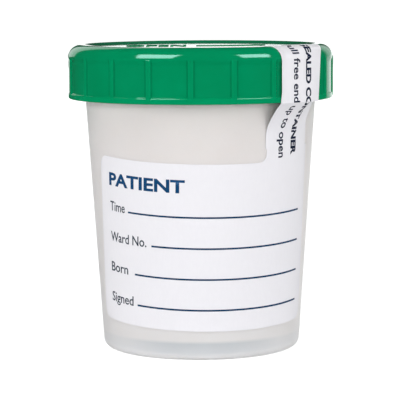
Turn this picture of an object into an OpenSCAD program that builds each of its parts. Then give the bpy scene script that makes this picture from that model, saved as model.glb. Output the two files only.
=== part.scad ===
// Screw-lid specimen container of about 120 mL, with a patient label and a paper seal over the lid.
// Z is up, the container stands on z = 0 and its axis is the Z axis. The label faces -Y.
// Azimuths are measured from -Y towards +X, so a positive one is on the right of the front.

/* [Cup] */
// Height of the rim above the standing plane
cup_h = 72.6; // [72.2:0.1:72.8]
// Outside diameter that the tapered wall would have at the standing plane
cup_foot_d = 49.16; // [48.6:0.02:49.6]
// Draft of the wall, in degrees
cup_draft = 3.84; // [3.7:0.01:3.9]
// Thickness of the wall
cup_wall = 1.2; // [1.0:0.05:1.3]
// Radius of the rounded corner at the foot
foot_r = 2.05; // [1.5:0.05:2.2]
// Height of the recess under the floor
recess_h = 2.6; // [2.0:0.1:3.0]
// Thickness of the floor
floor_t = 1.3; // [1.0:0.1:1.6]

/* [Graduations] */
// Lowest graduation, in millilitres
grad_first = 20; // [20:10:40]
// Step between graduations, in millilitres
grad_step = 10; // [10:10:20]
// Highest graduation, in millilitres
grad_last = 100; // [80:10:100]
// Azimuth of the graduated scale
grad_az = 180; // [150:5:210]
// Length of a main graduation, every second one
grad_long = 9; // [6:1:12]
// Length of a minor graduation
grad_short = 5; // [3:1:6]
// Height of a graduation above the wall
grad_proud = 0.2; // [0.15:0.05:0.25]

/* [Lid] */
// Height of the lid's lower edge above the standing plane, with the lid shut
lid_z = 62.6; // [62.4:0.1:62.8]
// Height of the lid's crest above the standing plane
lid_top = 76; // [75.8:0.1:76.2]
// Diameter over the grip ribs and the shoulder
lid_d = 66.4; // [66.2:0.1:66.6]
// Diameter of the flat panels between the ribs
panel_d = 65.7; // [65.4:0.1:65.8]
// Diameter and height of the flange at the lower edge
flange_d = 66.2; // [66.0:0.1:66.4]
flange_h = 1.5; // [1.2:0.1:1.8]
// Inside diameter of the skirt
skirt_bore_d = 63.2; // [63.0:0.1:63.4]
// Radius of the rounded shoulder
shoulder_r = 3.4; // [3.0:0.1:3.6]
// Depth of the recessed top panel below the crest
top_recess = 0.5; // [0.4:0.1:0.6]
// Thickness of the top panel
lid_t = 1.7; // [1.5:0.1:1.7]
// Number of grip ribs
rib_count = 20; // [18:1:24]
// Width of a grip rib at its root
rib_w = 1.8; // [1.4:0.05:2.2]
// Width of the ramp on each side of a grip rib
rib_ramp = 0.5; // [0.3:0.05:0.6]
// Azimuth of one grip rib
rib_az = -4; // [-8:0.1:8]

/* [Thread] */
// Number of thread starts
starts = 4; // [4:1:4]
// Rise of the lid in one full turn
lead = 24; // [24:1:24]
// Turn that each start of the cup's thread covers, in degrees
cup_wrap = 78; // [60:1:84]
// Turn that each start of the lid's thread covers, in degrees
lid_wrap = 52; // [40:1:60]
// Outside diameter over the cup's thread
cup_thread_d = 62.4; // [62.0:0.1:62.5]
// Inside diameter of the lid's thread
lid_thread_d = 60.2; // [60.0:0.1:60.6]

/* [Liner] */
// Diameter of the sealing disc
liner_d = 61.6; // [60.5:0.1:62.0]
// Thickness of the sealing disc
liner_t = 0.9; // [0.6:0.1:0.9]

/* [Label and seal] */
// Width and height of the paper label, laid flat
label_w = 61.8; // [58:0.1:62]
label_h = 40.9; // [38:0.1:42]
// Height of the label's middle, on its own centre line
label_mid_z = 27.68; // [27:0.01:29]
// Azimuth of the label's middle
label_az = 2.2; // [0:0.1:4]
// How far the label is tilted, its right side down, in degrees
label_tilt = 0.72; // [0:0.01:1]
// Corner radius of the label
label_r = 2.6; // [2:0.1:3]
// Width of the paper strip that runs up from the label over the lid
strip_w = 15.1; // [14:0.1:15.2]
// Azimuth of the strip on the lid
strip_az = 48.4; // [47:0.1:50]
// Height at which the strip leaves the cup's wall
strip_leave_z = 54.5; // [53:0.1:57]
// Reach of the strip's free end inwards from the crest
tab_len = 10.5; // [8:0.5:12]
// Thickness of the paper
paper_t = 0.15; // [0.12:0.01:0.18]

/* [Hidden] */
$fn = 96;
gap = 0.15;                       // running clearance over and under the liner
glue = 0.02;                      // paper's stand-off from the plastic

// Cup: the wall's outside radius is foot_radius + taper * z
foot_radius = cup_foot_d / 2;
taper = tan(cup_draft);
wall_x = cup_wall / cos(cup_draft);
floor_z = recess_h + floor_t;
inner_r = 0.8;                    // fillet between floor and wall
rim_r = cup_wall / 2;
ring_w = 0.9;                     // width of the flat standing ring
recess_r0 = 1.0;                  // fillet at the edge of the recess under the floor

// Volume between the floor and a level, solved for the level
mouth_floor_r = foot_radius + taper * floor_z - wall_x;
function level_r(ml) = pow(pow(mouth_floor_r, 3) + 3000 * taper * ml / PI, 1 / 3);
function level_z(ml) = floor_z + (level_r(ml) - mouth_floor_r) / taper;

// Lid
lid_r = lid_d / 2;
panel_r = panel_d / 2;
flange_r = flange_d / 2;
bore_r = skirt_bore_d / 2;
recess_z = lid_top - top_recess;
under_z = recess_z - lid_t;
shoulder_z = lid_top - shoulder_r;
crest_r = lid_r - shoulder_r;     // where the shoulder meets the crest
crest_in_r = crest_r - 0.7;       // where the crest starts to fall inwards
inner_slope = 11;                 // fall of the crest's inner side, in degrees
inner_fillet = 1.0;               // rounding above and below that slope
inner_drop = inner_fillet * (1 - cos(inner_slope));
recess_r = crest_in_r - 2 * inner_fillet * sin(inner_slope)
    - (top_recess - 2 * inner_drop) / tan(inner_slope);
panel_top_z = 73.2;               // where the panels have run out to the shoulder
panel_ramp = 1.5;                 // height over which they do
rib_ramp_steps = 5;
shoulder_start = 10;              // angle on the shoulder's arc where it meets the panels

// Thread: one helix shape, sunk into each wall at its root
cup_root_r = foot_radius + taper * 66 - 0.7;
cup_crest_r = cup_thread_d / 2;
lid_root_r = bore_r + 0.6;
lid_crest_r = lid_thread_d / 2;
root_half = 1.0;                  // half of a thread's height along the axis, at its root
crest_half = 0.42;                // the same at its crest
cup_thread_z = 65.7;              // middle of the cup's thread at its lower end
thread_drop = 1.5;                // how far the lid's thread lies under the cup's
lid_thread_az = 9;                // where the lid's thread starts, past the cup's
lid_thread_z = cup_thread_z - thread_drop + lead * lid_thread_az / 360;
thread_step = 4;                  // degrees between sections
fade = 10;                        // degrees over which a thread's end dies away

// Label and seal
label_mid_r = foot_radius + taper * label_mid_z;
apex = label_mid_r / sin(cup_draft);          // distance from the cone's point to the label's middle
tail_right = label_w / 2;
tail_lean = 0.35;                 // the strip is that much wider where it leaves the label
tail_left = tail_right - strip_w - tail_lean;
tail_top = label_h / 2 + 3;
tail_fillet = 2;
tail_z = 51.5;                    // above this the strip's edges are worked out on the lean
lean_power = 1.8;                 // how sharply the strip curves out to the lid
lean_steps = 10;
drift_az = 1.2;                   // how far the strip's middle drifts in azimuth on its way up
drift_z = label_h + 7;            // height at which the drift starts
steep = 1.15;                     // the paper is that much thicker across where it leans out
edge_step = 1.5;                  // longest straight step along the label's outline
seal_r = lid_r + glue;
tear_z = lid_z - 0.1;             // the paper tears just under the lid's lower edge
fold_x = crest_r - 0.15;          // where the free end folds, measured along the strip

function polar(r, a) = [r * cos(a), r * sin(a)];
function arc(cx, cy, r, a0, a1, n = 8) = [for (i = [0:n]) [cx, cy] + polar(r, a0 + (a1 - a0) * i / n)];

// A point of the flat label, wrapped on the cone and seen from the front as [x, z]
function tilt(p) = [
    p[0] * cos(label_tilt) + p[1] * sin(label_tilt),
    p[1] * cos(label_tilt) - p[0] * sin(label_tilt)
];
function on_cone(q) = let (
    rho = norm([q[0], apex + q[1]]),
    turn = atan2(q[0], apex + q[1]) / sin(cup_draft) + label_az,
    r = rho * sin(cup_draft)
) [r * sin(turn), label_mid_z + (r - label_mid_r) / taper];
function steps(a, b) = max(1, ceil(norm(b - a) / edge_step));
function walk(a, b) = [for (i = [0:steps(a, b) - 1]) a + (b - a) * i / steps(a, b)];
function open_walk(pts) = concat(
    [for (i = [0:len(pts) - 2]) each walk(pts[i], pts[i + 1])],
    [pts[len(pts) - 1]]
);

module turned(az) {
    rotate([0, 0, az - 90])
        children();
}

// Sections of a screw thread from root_r to crest_r, right-handed, rising from z0
module thread(root_r, crest_r, z0, wrap, az) {
    n = ceil(wrap / thread_step);
    function rise(i) = min(1, min(i, n - i) * wrap / n / fade + 0.05);
    function section(i) = let (
        a = az - 90 + wrap * i / n,
        z = z0 + lead * wrap * i / n / 360,
        r = root_r + (crest_r - root_r) * rise(i)
    ) [
        [root_r * cos(a), root_r * sin(a), z - root_half],
        [r * cos(a), r * sin(a), z - crest_half],
        [r * cos(a), r * sin(a), z + crest_half],
        [root_r * cos(a), root_r * sin(a), z + root_half]
    ];
    points = [for (i = [0:n]) each section(i)];
    inward = crest_r < root_r;
    function facing(face) = inward ? [for (k = [len(face) - 1:-1:0]) face[k]] : face;
    sides = [
        for (i = [0:n - 1], k = [0:3], half = [0, 1])
            let (a = 4 * i + k, b = 4 * i + (k + 1) % 4)
                facing(half == 0 ? [a, b, b + 4] : [a, b + 4, a + 4])
    ];
    ends = [
        facing([0, 3, 2]), facing([0, 2, 1]),
        facing([4 * n, 4 * n + 1, 4 * n + 2]), facing([4 * n, 4 * n + 2, 4 * n + 3])
    ];
    polyhedron(points, concat(sides, ends), convexity = 4);
}

module thread_starts(root_r, crest_r, z0, wrap, az) {
    for (k = [0:starts - 1])
        thread(root_r, crest_r, z0, wrap, az + k * 360 / starts);
}

// Outside radius of the cup's wall at a height
function wall_r(z) = foot_radius + taper * z;

module cup_body() {
    corner_x = wall_r(foot_r) - foot_r / cos(cup_draft);
    ring_x = corner_x - ring_w;
    rim_x = wall_r(cup_h - rim_r) - rim_r;
    inner_z = floor_z + inner_r;
    inner_x = wall_r(inner_z) - wall_x - inner_r / cos(cup_draft);
    rotate_extrude()
        polygon(concat(
            [[0, recess_h]],
            arc(ring_x - recess_r0, recess_h - recess_r0, recess_r0, 90, 0, 6),
            [[ring_x, 0]],
            arc(corner_x, foot_r, foot_r, -90, -cup_draft, 20),
            arc(rim_x, cup_h - rim_r, rim_r, 0, 180, 10),
            arc(inner_x, inner_z, inner_r, -cup_draft, -90, 6),
            [[0, floor_z]]
        ));
}

// Raised bars on the back, each at the level of its volume
module graduations() {
    bar_h = 0.5;
    for (ml = [grad_first:grad_step:grad_last]) {
        z = level_z(ml);
        long = (ml / grad_step) % 2 == 0;
        w = long ? grad_long : grad_short;
        intersection() {
            rotate_extrude()
                polygon([
                    [wall_r(z) - 0.3, z - bar_h / 2],
                    [wall_r(z) + grad_proud, z - bar_h / 2 + 0.1],
                    [wall_r(z) + grad_proud, z + bar_h / 2 - 0.1],
                    [wall_r(z) - 0.3, z + bar_h / 2]
                ]);
            turned(grad_az)
                translate([0, -w / 2, z - 1])
                    cube([lid_r, w, 2]);
        }
    }
}

module cup() {
    color("whitesmoke") {
        cup_body();
        graduations();
        thread_starts(cup_root_r, cup_crest_r, cup_thread_z, cup_wrap, 0);
        // Gate mark at the middle of the underside
        translate([0, 0, recess_h - 0.5])
            cylinder(h = 1, r = 1.2);
    }
}

// A grip rib: soft ramps along both sides, a bevel at its upper end, sunk into the panel
module rib() {
    in_x = panel_r - 0.5;
    low_z = lid_z + 0.6;
    side = [
        for (i = [0:rib_ramp_steps])
            let (share = i / rib_ramp_steps)
                [panel_r + (lid_r - panel_r) * (1 - cos(180 * share)) / 2, rib_w / 2 - rib_ramp * share]
    ];
    other_side = [for (i = [rib_ramp_steps:-1:0]) [side[i][0], -side[i][1]]];
    intersection() {
        translate([0, 0, low_z])
            linear_extrude(panel_top_z + 1 - low_z)
                polygon(concat([[in_x, rib_w / 2]], side, other_side, [[in_x, -rib_w / 2]]));
        translate([0, rib_w, 0])
            rotate([90, 0, 0])
                linear_extrude(2 * rib_w)
                    polygon([
                        [in_x, low_z],
                        [lid_r, low_z],
                        [lid_r, panel_top_z - 0.15],
                        [lid_r - 0.2, panel_top_z + 0.2],
                        [in_x, panel_top_z + 0.2]
                    ]);
    }
}

module lid() {
    edge_r = 0.4;
    step_r = 0.3;
    root_r = 0.15;
    inside_r = 0.6;
    run_out = crest_r + shoulder_r * cos(shoulder_start) - panel_r;
    panel_end = [
        for (i = [0:8])
            [panel_r + run_out * (1 - cos(180 * i / 8)) / 2, panel_top_z - panel_ramp * (1 - i / 8)]
    ];
    color("mediumseagreen") {
        rotate_extrude()
            polygon(concat(
                [[bore_r + 0.2, lid_z]],
                arc(flange_r - edge_r, lid_z + edge_r, edge_r, -90, 0, 10),
                arc(flange_r - step_r, lid_z + flange_h - step_r, step_r, 0, 70, 8),
                [[panel_r, lid_z + flange_h + root_r]],
                panel_end,
                arc(crest_r, shoulder_z, shoulder_r, shoulder_start + 2, 90, 39),
                arc(crest_in_r, lid_top - inner_fillet, inner_fillet, 90, 90 + inner_slope, 5),
                arc(recess_r, recess_z + inner_fillet, inner_fillet, 270 + inner_slope, 270, 5),
                [[0, recess_z], [0, under_z]],
                arc(bore_r - inside_r, under_z - inside_r, inside_r, 90, 0, 6),
                [[bore_r, lid_z + 0.3]]
            ));
        for (k = [0:rib_count - 1])
            turned(rib_az + k * 360 / rib_count)
                rib();
        thread_starts(lid_root_r, lid_crest_r, lid_thread_z, lid_wrap, lid_thread_az);
    }
}

module sealing_liner() {
    color("white")
        translate([0, 0, cup_h + gap])
            cylinder(h = liner_t, d = liner_d);
}

// Radius of the paper at a height: on the wall, then curving out to the lid's lower edge
function lean_r(z) = wall_r(z) + (seal_r - wall_r(tear_z))
    * pow(max(0, (z - strip_leave_z) / (tear_z - strip_leave_z)), lean_power);

// An edge of the strip at a height, seen from the front; side is -1 on the left and 1 on the right
function strip_edge(side, z) = let (
    r = lean_r(z),
    middle = strip_az + drift_az * (tear_z - z) / (tear_z - drift_z)
) [r * sin(middle + side * asin(strip_w / 2 / r)), z];
function strip_side(side, zs) = [for (z = zs) strip_edge(side, z)];

// Front outline of the label, with the strip rising from its right-hand end
module label_outline() {
    right = label_w / 2;
    top = label_h / 2;
    flat = concat(
        [[tail_left, tail_top]],
        arc(tail_left - tail_fillet, top + tail_fillet, tail_fillet, 0, -90, 6),
        arc(-right + label_r, top - label_r, label_r, 90, 180, 6),
        arc(-right + label_r, -top + label_r, label_r, 180, 270, 6),
        arc(right - label_r, -top + label_r, label_r, 270, 360, 6),
        [[tail_right, tail_top]]
    );
    seen = [for (p = open_walk(flat)) on_cone(tilt(p))];
    up = [for (i = [0:lean_steps]) tail_z + (tear_z - tail_z) * i / lean_steps];
    down = [for (i = [lean_steps:-1:0]) up[i]];
    polygon(concat(
        seen,
        strip_side(1, up),
        [strip_edge(1, tear_z) + [0, 1], strip_edge(-1, tear_z) + [0, 1]],
        strip_side(-1, down)
    ));
}

// Paper that follows the wall, then leans out to the lid's lower edge
module patient_label() {
    low_z = 4;
    up = concat(
        [low_z],
        [for (i = [0:lean_steps]) strip_leave_z + (tear_z - strip_leave_z) * i / lean_steps]
    );
    function across(z) = paper_t * (z > strip_leave_z ? steep : 1);
    inner = [for (z = up) [lean_r(z) + glue, z]];
    outer = [for (i = [len(up) - 1:-1:0]) [lean_r(up[i]) + glue + across(up[i]), up[i]]];
    color("ghostwhite")
        intersection() {
            rotate_extrude()
                polygon(concat(inner, outer));
            rotate([90, 0, 0])
                linear_extrude(lid_r + 1)
                    label_outline();
        }
}

// The strip on the lid's side and shoulder, cut square where its free end folds
module tamper_seal() {
    color("ghostwhite")
        intersection() {
            rotate_extrude()
                polygon(concat(
                    [[seal_r, lid_z], [seal_r + paper_t, lid_z]],
                    arc(crest_r, shoulder_z, shoulder_r + glue + paper_t, 0, 90, 12),
                    arc(crest_r, shoulder_z, shoulder_r + glue, 90, 0, 12)
                ));
            turned(strip_az)
                translate([fold_x + 0.1, -strip_w / 2, 0])
                    cube([lid_r, strip_w, lid_top + 5]);
        }
}

// Free end of the strip: over the crest, down the inner slope and on to the recessed panel
module seal_tab() {
    low_z = recess_z + glue;
    high_z = lid_top + glue;
    slope_x = crest_in_r - 1.3;
    flat_x = recess_r - 1.4;
    color("ghostwhite")
        turned(strip_az)
            translate([0, strip_w / 2, 0])
                rotate([90, 0, 0])
                    linear_extrude(strip_w)
                        polygon([
                            [fold_x, high_z],
                            [fold_x, high_z + paper_t],
                            [slope_x, high_z + paper_t],
                            [flat_x, low_z + paper_t],
                            [crest_r - tab_len, low_z + paper_t],
                            [crest_r - tab_len, low_z],
                            [flat_x, low_z],
                            [slope_x, high_z]
                        ]);
}

cup();
patient_label();
sealing_liner();
lid();
tamper_seal();
seal_tab();
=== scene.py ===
"""The looks of a urine specimen container: paper label and seal, inks, plastics, light and camera.

Lengths are in millimetres, and the last step of each mesh scales them to metres.
Azimuths are in radians from -Y towards +X, as in the CAD source.
"""
import math

import bmesh
import bpy
from mathutils import Matrix, Vector


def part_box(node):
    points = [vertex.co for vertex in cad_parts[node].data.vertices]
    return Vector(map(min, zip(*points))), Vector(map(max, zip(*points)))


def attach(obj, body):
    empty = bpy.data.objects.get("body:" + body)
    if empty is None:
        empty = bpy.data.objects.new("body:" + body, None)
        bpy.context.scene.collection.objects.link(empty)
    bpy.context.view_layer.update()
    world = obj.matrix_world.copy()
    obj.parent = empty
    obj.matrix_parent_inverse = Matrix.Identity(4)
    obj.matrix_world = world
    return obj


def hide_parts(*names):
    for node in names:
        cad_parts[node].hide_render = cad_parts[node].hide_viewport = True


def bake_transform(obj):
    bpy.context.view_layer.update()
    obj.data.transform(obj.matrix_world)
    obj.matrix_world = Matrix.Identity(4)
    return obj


MM = 0.001

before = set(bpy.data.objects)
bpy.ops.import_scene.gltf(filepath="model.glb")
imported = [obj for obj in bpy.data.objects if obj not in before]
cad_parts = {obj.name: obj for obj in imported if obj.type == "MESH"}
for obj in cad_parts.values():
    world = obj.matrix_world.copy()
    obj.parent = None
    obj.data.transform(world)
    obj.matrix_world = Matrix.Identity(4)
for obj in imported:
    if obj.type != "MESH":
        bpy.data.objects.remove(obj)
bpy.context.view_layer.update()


# ---------------------------------------------------------------- driving sizes

def box_mm(node):
    """Lowest and highest corner of a CAD node, in millimetres."""
    low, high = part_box(node)
    return low / MM, high / MM


# Cup and lid, as the frame has them
CUP_TOP = box_mm("cup")[1].z
LID_Z = box_mm("lid")[0].z
LID_TOP = box_mm("lid")[1].z
CUP_FOOT_R = 24.58          # outside radius that the tapered wall would have at z = 0
DRAFT = math.radians(3.84)
TAPER = math.tan(DRAFT)
WALL_T = 1.2
FLOOR_Z = 3.9               # top of the cup's floor
LID_R = 33.2
PANEL_R = 32.0              # the lid's grip panels lie outside this radius
RIB_COUNT = 20
RIB_AZ = math.radians(-4)   # where the first rib stands
SHOULDER_R = 3.4
CREST_R = LID_R - SHOULDER_R
SHOULDER_Z = LID_TOP - SHOULDER_R
RECESS_Z = LID_TOP - 0.5

# Paper
LABEL_W = 61.8
LABEL_H = 40.9
LABEL_MID_Z = 27.68
LABEL_AZ = math.radians(2.2)
LABEL_TILT = math.radians(0.72)
LABEL_CORNER = 2.6
STRIP_W = 15.1
STRIP_AZ = math.radians(48.4)
STRIP_DRIFT = math.radians(1.2)     # how far the strip has leant sideways at DRIFT_Z
DRIFT_Z = 47.9
STRIP_ROOT_Z = 51.5         # below this the strip is part of the label's flat outline
ROOT_FILLET = 2.0
LEAVE_Z = 54.5              # where the strip leaves the cup's wall
TEAR_Z = LID_Z - 0.08       # where the label's strip ends and the lid's begins
TORN_CORNER = 1.3           # how much narrower the lid's strip is where it is torn
TORN_EDGE = 13.0            # and how far up the strip its right edge is askew
TUCK = 2.2                  # how far the torn corner of the label's strip lies behind the lid's edge
TAB_REACH = 10.5            # free end's reach inwards from the crest
TAB_CORNER = 0.8
TIGHT_FOLD_R = 1.1          # the paper's fold over the lid's edge, where it stands off the shoulder
GLUE = 0.02
PAPER_T = 0.15
PAPER_TOP = GLUE + PAPER_T
INK_LOW = PAPER_TOP - 0.01
INK_HIGH = PAPER_TOP + 0.02
SEAL_R = LID_R + GLUE

LABEL_MID_R = CUP_FOOT_R + TAPER * LABEL_MID_Z
APEX = LABEL_MID_R / math.sin(DRAFT)
WALL_SPAN = 28.0            # radius that turns azimuth into millimetres on the wall's flat chart


# ---------------------------------------------------------------- surfaces that flat outlines are laid on

def smooth(x):
    """0 below 0, 1 above 1, and an even curve between."""
    x = min(1.0, max(0.0, x))
    return x * x * (3 - 2 * x)


def around(r, azimuth, z):
    """The point at a radius, azimuth and height."""
    return Vector((r * math.sin(azimuth), -r * math.cos(azimuth), z))


def wall_r(z):
    """Outside radius of the cup's wall at a height."""
    return CUP_FOOT_R + TAPER * z


def lean_r(z, s):
    """Radius of the paper: on the wall, then curving out to the lid's lower edge.

    On its right, where s is high, the strip is torn from the lid and tucks in below it.
    """
    rise = max(0.0, (z - LEAVE_Z) / (TEAR_Z - LEAVE_Z))
    tuck = smooth((s - 1.5) / 5)
    reach = LID_R - wall_r(TEAR_Z) - TUCK * tuck
    return wall_r(z) + reach * rise ** (1.8 + 0.8 * tuck)


def label_to_wall(u, v):
    """A point of the flat label, wrapped on the cone: (azimuth, z)."""
    x = u * math.cos(LABEL_TILT) + v * math.sin(LABEL_TILT)
    y = v * math.cos(LABEL_TILT) - u * math.sin(LABEL_TILT)
    rho = math.hypot(x, APEX + y)
    azimuth = math.atan2(x, APEX + y) / math.sin(DRAFT) + LABEL_AZ
    return azimuth, LABEL_MID_Z + (rho * math.sin(DRAFT) - LABEL_MID_R) / TAPER


def tail_to_wall(s, z):
    """A point of the strip below the lid, s across it: (azimuth, z)."""
    middle = STRIP_AZ + STRIP_DRIFT * (TEAR_Z - z) / (TEAR_Z - DRIFT_Z)
    return middle + math.asin(s / lean_r(z, s)), z


def on_wall(x, z, h):
    """Chart of the cup's wall: x is azimuth times WALL_SPAN."""
    azimuth = x / WALL_SPAN
    s = lean_r(z, 0) * math.sin(azimuth - STRIP_AZ)
    return around(lean_r(z, s) + h + crumple(azimuth, z), azimuth, z)


def crumple(azimuth, z):
    """Low soft creases where the paper turns out to the lid."""
    window = smooth((z - LEAVE_Z) / 4) * smooth((TEAR_Z - z) / 3)
    return 0.16 * window * math.sin(7.0 * (azimuth - STRIP_AZ) * (1 + 0.4 * z / TEAR_Z) + 0.6 * z)


def on_label(u, v, h):
    """The flat label: u to the right of its middle and v above it."""
    azimuth, z = label_to_wall(u, v)
    return on_wall(azimuth * WALL_SPAN, z, h)


def fold_r(s):
    """Radius of the fold at the shoulder: the paper follows it on its left and stands off it on its right."""
    return GLUE + SHOULDER_R + (TIGHT_FOLD_R - SHOULDER_R) * smooth((s + 4) / 9)


def side_rise(s):
    """Straight rise of the paper above the tear line, before its fold."""
    return LID_TOP + GLUE - fold_r(s) - TEAR_Z


def edge_lift(s):
    """The left edge of the strip isn't stuck down."""
    return 0.3 * smooth((-s - STRIP_W / 2 + 1.2) / 1.2)


def tab_height(x):
    """Height of the strip's free end: flat past the crest, then down to the recessed panel."""
    return RECESS_Z + GLUE + (LID_TOP - RECESS_Z) * smooth((x - 24.4) / 3.4)


def on_strip(s, t, h):
    """Chart of the strip over the lid: s across it, t up the side, over the shoulder and inwards."""
    if t < 0:
        azimuth, z = tail_to_wall(s, tail_drop(t))
        return on_wall(azimuth * WALL_SPAN, z, h)
    fold = fold_r(s)
    rise = side_rise(s)
    middle_r = SEAL_R - fold
    lift = edge_lift(s) * smooth(t / 3)
    if t <= rise + fold * math.pi / 2:
        turn = max(0.0, t - rise) / fold
        r = middle_r + (fold + h + lift) * math.cos(turn)
        x = math.sqrt(r * r - s * s)
        z = TEAR_Z + min(t, rise) + (fold + h) * math.sin(turn)
    else:
        x = math.sqrt(middle_r * middle_r - s * s) - (t - rise - fold * math.pi / 2)
        z = tab_height(x) + h
    across = Vector((math.cos(STRIP_AZ), math.sin(STRIP_AZ), 0))
    return around(x, STRIP_AZ, z) + across * s


def strip_length(s):
    """Length of the strip from the tear line to its free end."""
    middle_r = SEAL_R - fold_r(s)
    return (side_rise(s) + fold_r(s) * math.pi / 2
            + math.sqrt(middle_r ** 2 - s * s) - (CREST_R - TAB_REACH))


def tail_drop(t, step=0.1):
    """Height reached after going down the strip by -t from the tear line."""
    z = TEAR_Z
    gone = 0.0
    while gone < -t:
        run = lean_r(z, 0) - lean_r(z - step, 0)
        gone += math.hypot(run, step)
        z -= step
    return z


def on_cup(x, z, h):
    """The cup's bare wall, on the chart of on_wall."""
    return around(wall_r(z) + h, x / WALL_SPAN, z)


def on_top(x, y, h):
    """The recessed panel on top of the lid."""
    return Vector((x, y, RECESS_Z + h))


# ---------------------------------------------------------------- flat outlines and closed sheets

def arc(cx, cy, r, start, end, n=6):
    """Points on an arc; angles in degrees."""
    turns = [math.radians(start + (end - start) * i / n) for i in range(n + 1)]
    return [(cx + r * math.cos(a), cy + r * math.sin(a)) for a in turns]


def walk(points, longest=1.2, closed=True):
    """The same outline with no step longer than `longest`."""
    ends = points[1:] + points[:1] if closed else points[1:]
    found = []
    for (x0, y0), (x1, y1) in zip(points, ends):
        n = max(1, math.ceil(math.hypot(x1 - x0, y1 - y0) / longest))
        found += [(x0 + (x1 - x0) * i / n, y0 + (y1 - y0) * i / n) for i in range(n)]
    return found if closed else found + [points[-1]]


def flat_outline(*outlines):
    """Flat bmesh with one face for each closed outline."""
    flat = bmesh.new()
    for points in outlines:
        flat.faces.new([flat.verts.new((x, y, 0)) for x, y in points])
    return flat


FONT_SIZE = 10
CAPITAL = 0.682 * FONT_SIZE     # height of a capital at that size of the built-in font


def flat_text(words, size, width=None, bold=0.0, resolution=3):
    """Flat bmesh of filled letters from x = 0 on the baseline y = 0; size is the height of a capital."""
    curve = bpy.data.curves.new("words", "FONT")
    curve.body = words
    curve.size = FONT_SIZE
    curve.offset = bold
    curve.resolution_u = resolution
    probe = bpy.data.objects.new("words", curve)
    bpy.context.scene.collection.objects.link(probe)
    evaluated = probe.evaluated_get(bpy.context.evaluated_depsgraph_get())
    mesh = bpy.data.meshes.new_from_object(evaluated)
    flat = bmesh.new()
    flat.from_mesh(mesh)
    bpy.data.objects.remove(probe)
    bpy.data.meshes.remove(mesh)
    bpy.data.curves.remove(curve)
    bmesh.ops.remove_doubles(flat, verts=flat.verts, dist=0.002)
    low_x = min(v.co.x for v in flat.verts)
    high_x = max(v.co.x for v in flat.verts)
    tall = size / CAPITAL
    wide = tall if width is None else width / (high_x - low_x)
    for v in flat.verts:
        v.co = ((v.co.x - low_x) * wide, v.co.y * tall, 0)
    return flat


def moved(flat, place):
    """Moves every flat vertex: place(x, y) gives its new x and y."""
    for v in flat.verts:
        v.co = (*place(v.co.x, v.co.y), 0)
    return flat


def joined(*flats):
    """One flat bmesh from several."""
    whole = bmesh.new()
    for flat in flats:
        made = {v: whole.verts.new(v.co) for v in flat.verts}
        for face in flat.faces:
            whole.faces.new([made[v] for v in face.verts])
        flat.free()
    return whole


def cut(flat, normal, at, **settings):
    """Cuts a flat bmesh across the direction `normal`, at a distance `at` along it."""
    normal = Vector(normal)
    everything = flat.verts[:] + flat.edges[:] + flat.faces[:]
    bmesh.ops.bisect_plane(flat, geom=everything, plane_co=at * normal, plane_no=normal, **settings)


def cut_grid(flat, step_x, step_y):
    """Cuts a flat bmesh along a grid, so that it can follow a curved surface."""
    for axis, normal, step in ((0, (1, 0, 0), step_x), (1, (0, 1, 0), step_y)):
        low = min(v.co[axis] for v in flat.verts)
        high = max(v.co[axis] for v in flat.verts)
        for i in range(1, int((high - low) / step) + 1):
            cut(flat, normal, low + i * step, dist=1e-4)
    return flat


def keep_above(flat, y):
    """Cuts a flat bmesh at a height and keeps what is above it."""
    cut(flat, (0, -1, 0), -y, dist=1e-5, clear_outer=True)
    return flat


def keep_below(flat, y):
    """The same, for what is below it."""
    cut(flat, (0, 1, 0), y, dist=1e-5, clear_outer=True)
    return flat


def sheet(name, flat, place, low, high, material):
    """Closed thin piece from a flat bmesh; place(x, y, h) puts a flat point at height h on its surface."""
    solid = bmesh.new()
    for face in flat.faces:
        if face.normal.z < 0:
            face.normal_flip()
    upper = {v: solid.verts.new(place(v.co.x, v.co.y, high) * MM) for v in flat.verts}
    lower = {v: solid.verts.new(place(v.co.x, v.co.y, low) * MM) for v in flat.verts}
    for face in flat.faces:
        solid.faces.new([upper[v] for v in face.verts]).smooth = True
        solid.faces.new([lower[v] for v in reversed(face.verts)]).smooth = True
    for edge in flat.edges:
        if len(edge.link_faces) != 1:
            continue
        loop = edge.link_loops[0]
        a, b = loop.vert, loop.link_loop_next.vert
        solid.faces.new([lower[a], lower[b], upper[b], upper[a]]).smooth = True
        for layer in (upper, lower):
            solid.edges.get([layer[a], layer[b]]).smooth = False
    loose = [v for v in solid.verts if not v.link_faces]
    bmesh.ops.delete(solid, geom=loose, context="VERTS")
    flat.free()
    mesh = bpy.data.meshes.new(name)
    solid.to_mesh(mesh)
    solid.free()
    mesh.materials.append(material)
    piece = bpy.data.objects.new(name, mesh)
    bpy.context.scene.collection.objects.link(piece)
    return piece


# ---------------------------------------------------------------- materials

def add_node(tree, kind, sockets=None, **settings):
    """A node with some of its settings and unlinked sockets given."""
    node = tree.nodes.new(kind)
    for key, value in settings.items():
        setattr(node, key, value)
    for key, value in (sockets or {}).items():
        node.inputs[key].default_value = value
    return node


def make_material(name, sockets):
    """Principled material; returns it with its node tree and shader."""
    material = bpy.data.materials.new(name)
    material.use_nodes = True
    tree = material.node_tree
    shader = tree.nodes["Principled BSDF"]
    for key, value in sockets.items():
        shader.inputs[key].default_value = value
    return material, tree, shader


def add_math(tree, operation, a, b=0.0):
    """Maths node; a and b are numbers or sockets."""
    node = add_node(tree, "ShaderNodeMath", operation=operation)
    for socket, value in zip(node.inputs, (a, b)):
        if isinstance(value, bpy.types.NodeSocket):
            tree.links.new(value, socket)
        else:
            socket.default_value = value
    return node.outputs["Value"]


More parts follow.
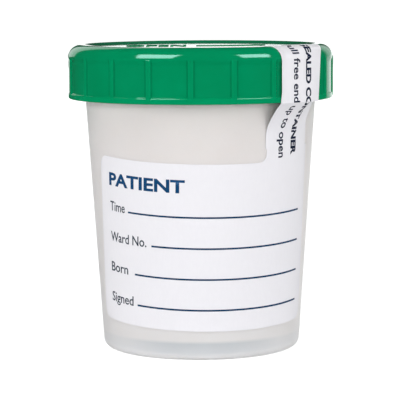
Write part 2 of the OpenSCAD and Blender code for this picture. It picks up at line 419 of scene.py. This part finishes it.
def object_axes(tree):
    """Sockets X, Y and Z with a point's place in the object's own space, in metres."""
    place = add_node(tree, "ShaderNodeTexCoord")
    split = add_node(tree, "ShaderNodeSeparateXYZ")
    tree.links.new(place.outputs["Object"], split.inputs["Vector"])
    return split.outputs


def add_noise(tree, scale, detail=2.0, stretch=(1, 1, 1)):
    """Noise in the object's own space; scale is in features per metre."""
    place = add_node(tree, "ShaderNodeTexCoord")
    mapping = add_node(tree, "ShaderNodeMapping", {"Scale": stretch})
    noise = add_node(tree, "ShaderNodeTexNoise", {"Scale": scale, "Detail": detail})
    tree.links.new(place.outputs["Object"], mapping.inputs["Vector"])
    tree.links.new(mapping.outputs["Vector"], noise.inputs["Vector"])
    return noise.outputs["Fac"]


def add_ramp(tree, factor, stops):
    """Colour ramp; stops are (position, grey level or colour), in order."""
    ramp = add_node(tree, "ShaderNodeValToRGB")
    elements = ramp.color_ramp.elements
    elements.remove(elements[1])
    elements[0].position = stops[0][0]
    for position, _ in stops[1:]:
        elements.new(position)
    for element, (_, colour) in zip(elements, stops):
        element.color = (*colour, 1) if isinstance(colour, tuple) else (colour, colour, colour, 1)
    tree.links.new(factor, ramp.inputs["Fac"])
    return ramp.outputs["Color"]


def add_bump(tree, shader, height, distance):
    """Bump of a height in metres."""
    bump = add_node(tree, "ShaderNodeBump", {"Distance": distance, "Strength": 1.0})
    tree.links.new(height, bump.inputs["Height"])
    tree.links.new(bump.outputs["Normal"], shader.inputs["Normal"])


def add_height(tree, low, high):
    """0 to 1 as the object's own z goes from low to high, in millimetres."""
    span = add_node(tree, "ShaderNodeMapRange", {"From Min": low * MM, "From Max": high * MM})
    tree.links.new(object_axes(tree)["Z"], span.inputs["Value"])
    return span.outputs["Result"]


def mix_colours(tree, factor, a, b, blend="MIX"):
    """Mix of two colours, each a colour or a socket."""
    mix = add_node(tree, "ShaderNodeMix", data_type="RGBA", blend_type=blend)
    first, second = (s for s in mix.inputs if s.type == "RGBA")
    for socket, value in ((mix.inputs["Factor"], factor), (first, a), (second, b)):
        if isinstance(value, bpy.types.NodeSocket):
            tree.links.new(value, socket)
        else:
            socket.default_value = value if isinstance(value, float) else (*value, 1)
    return next(s for s in mix.outputs if s.type == "RGBA")


def add_rib_lines(tree):
    """Painted light along the grip ribs of the lid: a painted highlight on the edges of each rib, painted
    shade at its roots, and the flange and shoulder painted lighter than the panels.
    """
    axes = object_axes(tree)
    x, y = axes["X"], axes["Y"]
    azimuth = add_math(tree, "ARCTAN2", x, add_math(tree, "MULTIPLY", y, -1.0))
    ribs = add_math(tree, "DIVIDE", add_math(tree, "SUBTRACT", azimuth, RIB_AZ), math.tau / RIB_COUNT)
    aside = add_math(tree, "PINGPONG", ribs, 0.5)   # 0 at the middle of a rib, 0.5 half-way to the next
    # painted highlight on the edges of each rib, painted shade beside its roots
    lines = add_ramp(tree, aside, [
        (0.0, 0.89), (0.03, 0.91), (0.043, 1.0), (0.056, 0.90), (0.078, 0.70), (0.09, 0.70), (0.108, 0.88)])
    rise = add_height(tree, LID_Z, LID_TOP)
    beside = add_ramp(tree, rise, [(0.115, 0.0), (0.15, 1.0), (0.76, 1.0), (0.80, 0.0)])
    squares = add_math(tree, "ADD", add_math(tree, "MULTIPLY", x, x), add_math(tree, "MULTIPLY", y, y))
    outside = add_math(tree, "GREATER_THAN", add_math(tree, "SQRT", squares), PANEL_R * MM)
    # painted light: the flange and the shoulder lighter than the panels between them
    plain = add_ramp(tree, rise, [(0.10, 1.0), (0.125, 0.88), (0.85, 0.88), (0.93, 0.96)])
    return mix_colours(tree, add_math(tree, "MULTIPLY", beside, outside), plain, lines)


def lid_material():
    """Glossy injection-moulded polypropylene, a little mottled, with a fine orange peel and painted
    highlights and shade along its grip ribs.
    """
    material, tree, shader = make_material("lid_green", {
        "IOR": 1.49, "Specular Tint": (0.62, 1.0, 1.0, 1)})
    colour = add_ramp(tree, add_noise(tree, 130, 3), [
        (0.3, (0.0, 0.286, 0.110)), (0.7, (0.0, 0.312, 0.124))])
    colour = mix_colours(tree, 1.0, colour, add_rib_lines(tree), "MULTIPLY")
    tree.links.new(colour, shader.inputs["Base Color"])
    gloss = add_ramp(tree, add_noise(tree, 420, 2), [(0.3, 0.05), (0.75, 0.08)])
    tree.links.new(gloss, shader.inputs["Roughness"])
    add_bump(tree, shader, add_noise(tree, 700, 1), 0.002 * MM)
    return material


def mark_material():
    """The raised marks on the lid, which are matt."""
    material, tree, shader = make_material("lid_marks", {
        "Roughness": 0.55, "IOR": 1.49, "Specular IOR Level": 0.3})
    colour = add_ramp(tree, add_noise(tree, 900, 2), [
        (0.3, (0.0, 0.19, 0.075)), (0.7, (0.0, 0.215, 0.085))])
    tree.links.new(colour, shader.inputs["Base Color"])
    add_bump(tree, shader, add_noise(tree, 4000, 2), 0.02 * MM)
    return material


FOOT_Z = 5.0                # height of the band at the cup's foot with painted shade, darker and cooler where its thick floor shows through
FOOT_EDGE = (0.97, 0.96, 0.97)      # the cup's colour on its rounded foot, painted paler as painted light
WALL_ROOT = (0.88, 0.86, 0.855)     # and where the plain wall begins


def cup_material():
    """Natural polypropylene: milky and translucent. Painted shade makes the foot darker and cooler where the
    thick floor shows through, most on the front, and painted light makes its rounded edge paler.
    """
    material, tree, shader = make_material("cup_natural", {
        "IOR": 1.49, "Roughness": 0.32, "Transmission Weight": 0.12,
        "Sheen Weight": 0.9, "Sheen Roughness": 0.5,
        "Subsurface Weight": 0.4, "Subsurface Radius": (1.0, 0.95, 0.9), "Subsurface Scale": 0.0015})
    rise = add_height(tree, 0, FOOT_Z)
    # painted shade: a darker, cooler band where the thick floor shows through the wall, with the paler
    # rounded edge below it as painted light
    thick = add_ramp(tree, rise, [
        (0.15, FOOT_EDGE), (0.4, (0.73, 0.75, 0.775)), (0.82, (0.66, 0.69, 0.715)), (0.98, WALL_ROOT)])
    clear = add_ramp(tree, rise, [
        (0.15, FOOT_EDGE), (0.5, (0.88, 0.875, 0.885)), (1.0, (0.89, 0.87, 0.865))])
    # the painted shade is strongest on the front, towards -Y
    forward = add_math(tree, "DIVIDE", object_axes(tree)["Y"], -25 * MM)
    foot = mix_colours(tree, add_ramp(tree, forward, [(0.65, 0.3), (0.95, 1.0)]), clear, thick)
    wall = add_ramp(tree, add_height(tree, FOOT_Z, CUP_TOP), [
        (0.0, WALL_ROOT), (0.25, (0.92, 0.88, 0.865)), (1.0, (0.94, 0.88, 0.86))])
    above = add_ramp(tree, add_height(tree, FOOT_Z - 0.1, FOOT_Z), [(0.0, 0.0), (1.0, 1.0)])
    by_height = mix_colours(tree, above, foot, wall)
    cloud = add_ramp(tree, add_noise(tree, 60, 3), [(0.3, 0.96), (0.7, 1.0)])
    colour = mix_colours(tree, 1.0, by_height, cloud, "MULTIPLY")
    tree.links.new(colour, shader.inputs["Base Color"])
    add_bump(tree, shader, add_noise(tree, 900, 3), 0.03 * MM)
    return material


def number_material():
    """The cup's plastic where it stands proud in raised figures."""
    material, tree, shader = make_material("cup_figures", {
        "IOR": 1.49, "Roughness": 0.4, "Sheen Weight": 0.3, "Sheen Roughness": 0.5})
    colour = add_ramp(tree, add_noise(tree, 60, 3), [(0.3, (0.86, 0.81, 0.79)), (0.7, (0.90, 0.85, 0.83))])
    tree.links.new(colour, shader.inputs["Base Color"])
    return material


def paper_material():
    """Coated label paper: near white, with a faint fibre and a low sheen."""
    material, tree, shader = make_material("label_paper", {
        "Roughness": 0.5, "IOR": 1.45, "Specular IOR Level": 0.35,
        "Sheen Weight": 0.3, "Sheen Roughness": 0.5})
    fibre = add_noise(tree, 1600, 4, stretch=(1, 1, 0.35))
    colour = add_ramp(tree, fibre, [(0.3, (0.88, 0.87, 0.91)), (0.7, (0.895, 0.885, 0.925))])
    tree.links.new(colour, shader.inputs["Base Color"])
    add_bump(tree, shader, add_noise(tree, 2500, 4), 0.008 * MM)
    return material


def ink_material(name, dark, light):
    """Printed ink, its density a little uneven."""
    material, tree, shader = make_material(name, {"Roughness": 0.45, "Specular IOR Level": 0.3})
    colour = add_ramp(tree, add_noise(tree, 2600, 3), [(0.35, dark), (0.7, light)])
    tree.links.new(colour, shader.inputs["Base Color"])
    return material


def liner_material():
    """Closed-cell foam of the sealing disc."""
    material, tree, shader = make_material("liner_foam", {"Roughness": 0.75, "Sheen Weight": 0.1})
    cells = add_noise(tree, 1900, 3)
    colour = add_ramp(tree, cells, [(0.35, (0.70, 0.70, 0.68)), (0.7, (0.82, 0.82, 0.80))])
    tree.links.new(colour, shader.inputs["Base Color"])
    add_bump(tree, shader, cells, 0.06 * MM)
    return material


LID_LOOK = lid_material()
MARK_LOOK = mark_material()
CUP_LOOK = cup_material()
PAPER_LOOK = paper_material()
HEADER_INK = ink_material("ink_header", (0.0, 0.05, 0.15), (0.0, 0.065, 0.19))
LINE_INK = ink_material("ink_line", (0.0, 0.034, 0.10), (0.0, 0.046, 0.13))
CAPTION_INK = ink_material("ink_caption", (0.018, 0.03, 0.052), (0.03, 0.044, 0.07))
SEAL_INK = ink_material("ink_seal", (0.0, 0.004, 0.022), (0.002, 0.009, 0.04))


def paint(node, material):
    """Gives a carried-over CAD node its material."""
    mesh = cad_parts[node].data
    mesh.materials.clear()
    mesh.materials.append(material)


paint("cup", CUP_LOOK)
paint("lid", LID_LOOK)
paint("sealing_liner", liner_material())


# ---------------------------------------------------------------- camera

CAMERA_AT = (-0.000236, -0.5193, 0.0923)
CAMERA_DIP = 6.118          # degrees that it looks down
CAMERA_ROLL = -0.294        # degrees


def make_camera():
    """A long lens in front of the container and a little above it."""
    data = bpy.data.cameras.new("camera")
    data.lens = 186.25
    data.sensor_width = 36.0
    data.clip_start = 0.01
    data.clip_end = 50.0
    camera = bpy.data.objects.new("camera", data)
    bpy.context.scene.collection.objects.link(camera)
    pitch = Matrix.Rotation(math.radians(90 - CAMERA_DIP), 4, "X")
    roll = Matrix.Rotation(math.radians(CAMERA_ROLL), 4, "Z")
    camera.matrix_world = Matrix.Translation(CAMERA_AT) @ pitch @ roll
    bpy.context.scene.camera = camera


make_camera()


# ---------------------------------------------------------------- paper label and seal

def make_label():
    """The label, with its strip rising from the right-hand end up to the lid's lower edge."""
    right = LABEL_W / 2
    top = LABEL_H / 2
    side = right - LABEL_CORNER
    ends = top - LABEL_CORNER
    root = right - STRIP_W - 0.35       # left edge of the strip, where it rises from the label
    half = STRIP_W / 2
    outline = walk(
        [(root, top + 3)]
        + arc(root - ROOT_FILLET, top + ROOT_FILLET, ROOT_FILLET, 0, -90)
        + arc(-side, ends, LABEL_CORNER, 90, 180)
        + arc(-side, -ends, LABEL_CORNER, 180, 270)
        + arc(side, -ends, LABEL_CORNER, 270, 360)
        + [(right, top + 3)], closed=False)
    levels = [STRIP_ROOT_Z + (TEAR_Z - STRIP_ROOT_Z) * i / 12 for i in range(13)]
    wrapped = [label_to_wall(u, v) for u, v in outline]
    wrapped += [tail_to_wall(half, z) for z in levels]
    wrapped += [tail_to_wall(s * half, TEAR_Z) for s in (0.6, 0.2, -0.2, -0.6)]
    wrapped += [tail_to_wall(-half, z) for z in reversed(levels)]
    flat = flat_outline([(azimuth * WALL_SPAN, z) for azimuth, z in wrapped])
    label = sheet("label_paper", cut_grid(flat, 1.2, 0.9), on_wall, GLUE, PAPER_TOP, PAPER_LOOK)
    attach(label, "cup")
    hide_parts("patient_label")


def make_seal():
    """The strip on the lid with its free end, which folds back over the crest."""
    half = STRIP_W / 2
    side = half - TAB_CORNER
    outline = walk(
        [(-half, 0), (half - TORN_CORNER, 0), (half, TORN_EDGE)]
        + arc(side, strip_length(half) - TAB_CORNER, TAB_CORNER, 0, 90, 4)
        + [(0, strip_length(0))]
        + arc(-side, strip_length(-half) - TAB_CORNER, TAB_CORNER, 90, 180, 4))
    flat = cut_grid(flat_outline(outline), 0.6, 0.35)
    seal = sheet("seal_strip", flat, on_strip, 0.0, PAPER_T, PAPER_LOOK)
    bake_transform(seal)
    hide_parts("tamper_seal", "seal_tab")


# ---------------------------------------------------------------- printing

# On the label, from its middle
TEXT_LEFT = -26.8
HEADER_V = 13.5
LINE_V = [7.5 - 7.58 * k for k in range(4)]
LINE_RIGHT = 27.7
LINE_T = 0.43
CAPTION_DROP = 0.35         # captions stand a little below their lines
FIELDS = [                  # caption, its width, left end of its line
    ("Time", 5.4, -20.3),
    ("Ward No.", 12.0, -13.4),
    ("Born", 6.4, -18.2),
    ("Signed", 8.1, -17.4),
]


def print_label(name, flat, ink, step_x=1.0, step_y=1.0):
    """Prints a flat bmesh on the label."""
    piece = sheet(name, cut_grid(flat, step_x, step_y), on_label, INK_LOW, INK_HIGH, ink)
    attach(piece, "cup")


def make_label_print():
    header = flat_text("PATIENT", 2.95, width=22.0, bold=0.31, resolution=5)
    moved(header, lambda x, y: (TEXT_LEFT - 0.3 + x, HEADER_V + y))
    print_label("print_header", header, HEADER_INK)
    half = LINE_T / 2
    lines = []
    captions = []
    for (words, width, left), v in zip(FIELDS, LINE_V):
        lines.append([(left, v - half), (LINE_RIGHT, v - half), (LINE_RIGHT, v + half), (left, v + half)])
        caption = flat_text(words, 2.3, width=width, bold=0.09)
        captions.append(moved(caption, lambda x, y: (TEXT_LEFT + x, v - CAPTION_DROP + y)))
    print_label("print_lines", flat_outline(*lines), LINE_INK, 0.8, 100)
    print_label("print_captions", joined(*captions), CAPTION_INK)


PRINT_TOP = SHOULDER_Z - TEAR_Z + (SHOULDER_R + GLUE) * math.pi / 2     # the crest, on the strip's chart
TEAR_GAP = 0.05             # the print stops this short of the tear, on either side


def seal_words():
    """Two lines of print, laid out on the strip's chart so that they read downwards."""
    bold = flat_text("SEALED CONTAINER", 1.85, width=29.5, bold=0.45, resolution=4)
    moved(bold, lambda x, y: (0.8 + y, PRINT_TOP - 0.5 - x))
    thin = flat_text("Pull free end up to open", 2.0, width=31.0, bold=0.2, resolution=3)
    moved(thin, lambda x, y: (-3.6 + y, PRINT_TOP + 0.5 - x))
    return cut_grid(joined(bold, thin), 1.0, 0.5)


def make_seal_print():
    """The strip's print, which runs on from the lid to the label."""
    on_lid = keep_above(seal_words(), TEAR_GAP)
    piece = sheet(
        "print_seal", on_lid, lambda s, t, h: on_strip(s, t, h - GLUE), INK_LOW, INK_HIGH, SEAL_INK)
    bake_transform(piece)
    on_tail = keep_below(seal_words(), -TEAR_GAP)
    piece = sheet("print_tail", on_tail, on_strip, INK_LOW, INK_HIGH, SEAL_INK)
    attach(piece, "cup")


# ---------------------------------------------------------------- raised marks

NUMBER_H = 2.3
NUMBER_X = math.pi * WALL_SPAN + 6.2        # left end of the numbers on the wall's chart, which is the back


def volume_level(ml):
    """Height of the surface of that many millilitres: a cone's volume, from the cup's floor up."""
    floor_r = wall_r(FLOOR_Z) - WALL_T / math.cos(DRAFT)
    surface_r = (floor_r ** 3 + 3000 * TAPER * ml / math.pi) ** (1 / 3)
    return FLOOR_Z + (surface_r - floor_r) / TAPER


def make_volume_numbers():
    """Raised numbers beside the long graduations on the cup's back, with the unit above them."""
    words = []
    for text, ml in [(str(ml), ml) for ml in range(20, 101, 20)] + [("mL", 110)]:
        foot = volume_level(ml) - NUMBER_H / 2
        number = flat_text(text, NUMBER_H, resolution=4)
        words.append(moved(number, lambda x, y: (NUMBER_X + x, foot + y)))
    flat = cut_grid(joined(*words), 1, 1)
    piece = sheet("volume_numbers", flat, on_cup, -0.05, 0.25, number_material())
    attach(piece, "cup")


MARK_Y = 4.0                # half height of the word on the lid
ARROW_BEND = 36.0           # radius that the arrow's middle line is bent to
ARROW_HALF = 0.8            # half the width of its shaft
ARROW_HEAD = 3 * ARROW_HALF
ARROW_SPAN = 25             # degrees from its tail to its head
ARROW_TIP = 4               # degrees from there to its point


def make_lid_marks():
    """OPEN, then a long arrow that bends the way the lid turns."""
    word = flat_text("OPEN", 2 * MARK_Y, width=15.0, bold=0.15, resolution=4)
    moved(word, lambda x, y: (x - 18.5, y - MARK_Y))
    tail = -90
    neck = tail + ARROW_SPAN

    def on_bend(r, degrees):
        return arc(0, 0, r, degrees, degrees, 1)[:1]

    outline = (
        arc(0, 0, ARROW_BEND + ARROW_HALF, tail, neck, 12)
        + on_bend(ARROW_BEND + ARROW_HEAD, neck)
        + on_bend(ARROW_BEND, neck + ARROW_TIP)
        + on_bend(ARROW_BEND - ARROW_HEAD, neck)
        + arc(0, 0, ARROW_BEND - ARROW_HALF, neck, tail, 12))
    arrow = moved(flat_outline(outline), lambda x, y: (x - 1.0, y + ARROW_BEND - 1.0))
    piece = sheet("lid_marks", joined(word, arrow), on_top, -0.05, 0.15, MARK_LOOK)
    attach(piece, "lid")


make_label()
make_seal()
make_label_print()
make_seal_print()
make_volume_numbers()
make_lid_marks()


# ---------------------------------------------------------------- stage and light

WHITE_LEVEL = 1.2           # what the camera sees behind the object
FILL_LEVEL = 0.30           # soft light from all round
DARK_LEVEL = 0.02           # the studio, as glossy plastic reflects it

# What glossy plastic reflects. Azimuth from +Y towards +X, elevation and roll in degrees; then half the
# width and height as they would be at a distance of 1, the softness of the sides and ends, and the level.
PANELS = [
    (2, -10, 0, 0.26, 0.235, 0.06, 0.006, 1.35),       # white wall behind, up to just above the horizon
    (27, -9, 0, 0.185, 0.20, 0.06, 0.02, 0.75),        # its right-hand end, in shade
    (-21.5, 19, -24, 0.21, 0.33, 0.03, 0.03, 1.0),     # white board on the left, which leans in
    (22, 12, 28, 0.20, 0.27, 0.10, 0.10, 0.75),        # white board on the right
    (-133.6, 44.0, -11, 0.27, 0.26, 0.03, 0.03, 12),   # left window
    (123.0, 41.5, 16, 0.21, 0.21, 0.03, 0.03, 12),     # right window
]


def add_panel(tree, direction, panel):
    """Level of one flat soft-edged panel, as seen in each direction."""
    azimuth, elevation, roll, half_width, half_height, side_edge, end_edge, level = panel
    turn = (
        Matrix.Rotation(math.radians(-azimuth), 3, "Z")
        @ Matrix.Rotation(math.radians(elevation), 3, "X")
        @ Matrix.Rotation(math.radians(-roll), 3, "Y"))
    along = []
    for axis in turn.col:
        dot = add_node(tree, "ShaderNodeVectorMath", {1: axis}, operation="DOT_PRODUCT")
        tree.links.new(direction, dot.inputs[0])
        along.append(dot.outputs["Value"])
    right, forward, up = along
    result = add_math(tree, "MULTIPLY", add_math(tree, "GREATER_THAN", forward, 0.0), level)
    for offset, half, edge in ((right, half_width, side_edge), (up, half_height, end_edge)):
        distance = add_math(tree, "ABSOLUTE", add_math(tree, "DIVIDE", offset, forward))
        fade = add_node(tree, "ShaderNodeMapRange", {
            "From Min": half - edge, "From Max": half + edge,
            "To Min": 1.0, "To Max": 0.0}, interpolation_type="SMOOTHSTEP")
        tree.links.new(distance, fade.inputs["Value"])
        result = add_math(tree, "MULTIPLY", result, fade.outputs["Result"])
    return result


def make_world():
    """White, also through the milky plastic; gloss shows a dark studio with the bright panels alone."""
    world = bpy.data.worlds.new("studio")
    bpy.context.scene.world = world
    world.use_nodes = True
    tree = world.node_tree
    background = tree.nodes["Background"]
    background.inputs["Color"].default_value = (1, 1, 1, 1)
    place = add_node(tree, "ShaderNodeTexCoord")
    gloss_level = DARK_LEVEL
    for panel in PANELS:
        gloss_level = add_math(tree, "ADD", add_panel(tree, place.outputs["Generated"], panel), gloss_level)
    path = add_node(tree, "ShaderNodeLightPath")
    seen = add_math(tree, "MAXIMUM", path.outputs["Is Camera Ray"], path.outputs["Is Transmission Ray"])
    in_gloss = add_node(tree, "ShaderNodeMix", {2: FILL_LEVEL}, data_type="FLOAT")
    strength = add_node(tree, "ShaderNodeMix", {3: WHITE_LEVEL}, data_type="FLOAT")
    tree.links.new(path.outputs["Is Glossy Ray"], in_gloss.inputs[0])
    tree.links.new(gloss_level, in_gloss.inputs[3])
    tree.links.new(seen, strength.inputs[0])
    tree.links.new(in_gloss.outputs[0], strength.inputs[2])
    tree.links.new(strength.outputs[0], background.inputs["Strength"])


def make_floor():
    """Plain white sweep: the camera sees it fully lit, and it isn't seen in the gloss of the plastic."""
    mesh = bpy.data.meshes.new("floor")
    half = 3.0
    corners = [(-half, -half, 0), (half, -half, 0), (half, half, 0), (-half, half, 0)]
    mesh.from_pydata(corners, [], [(0, 1, 2, 3)])
    floor = bpy.data.objects.new("floor", mesh)
    bpy.context.scene.collection.objects.link(floor)
    floor.location.z = -0.0001
    floor.visible_glossy = False
    material, tree, shader = make_material("floor_white", {
        "Roughness": 0.9, "Specular IOR Level": 0.0, "Emission Color": (1, 1, 1, 1)})
    colour = add_ramp(tree, add_noise(tree, 3, 2), [(0.3, 0.84), (0.7, 0.86)])
    tree.links.new(colour, shader.inputs["Base Color"])
    path = add_node(tree, "ShaderNodeLightPath")
    glow = add_math(tree, "MULTIPLY", path.outputs["Is Camera Ray"], 0.75)
    tree.links.new(glow, shader.inputs["Emission Strength"])
    mesh.materials.append(material)


LIGHT_TARGET = Vector((0, 0, 0.05))


def make_softbox(name, azimuth, elevation, distance, width, height, watts):
    """Rectangular area light that faces the container; gloss shows the world's panels in its place."""
    data = bpy.data.lights.new(name, "AREA")
    data.shape = "RECTANGLE"
    data.size = width
    data.size_y = height
    data.energy = watts
    rise = math.radians(elevation)
    aside = distance * around(math.cos(rise), math.radians(azimuth), math.sin(rise))
    facing = (-aside).to_track_quat("-Z", "Y").to_matrix().to_4x4()
    light = bpy.data.objects.new(name, data)
    bpy.context.scene.collection.objects.link(light)
    light.matrix_world = Matrix.Translation(LIGHT_TARGET + aside) @ facing
    light.visible_glossy = False


make_world()
make_floor()
make_softbox("key_left", -58, 12, 1.2, 0.8, 0.6, 6.4)
make_softbox("key_right", 60, 12, 1.2, 0.8, 0.6, 5.4)
make_softbox("front_low", 5, 6, 1.4, 1.0, 0.6, 3.4)
make_softbox("top_light", 5, 58, 1.6, 1.2, 1.0, 4.5)
make_softbox("back_fill", 185, 15, 1.6, 1.4, 1.0, 5)
bpy.context.scene.view_settings.view_transform = "Standard"
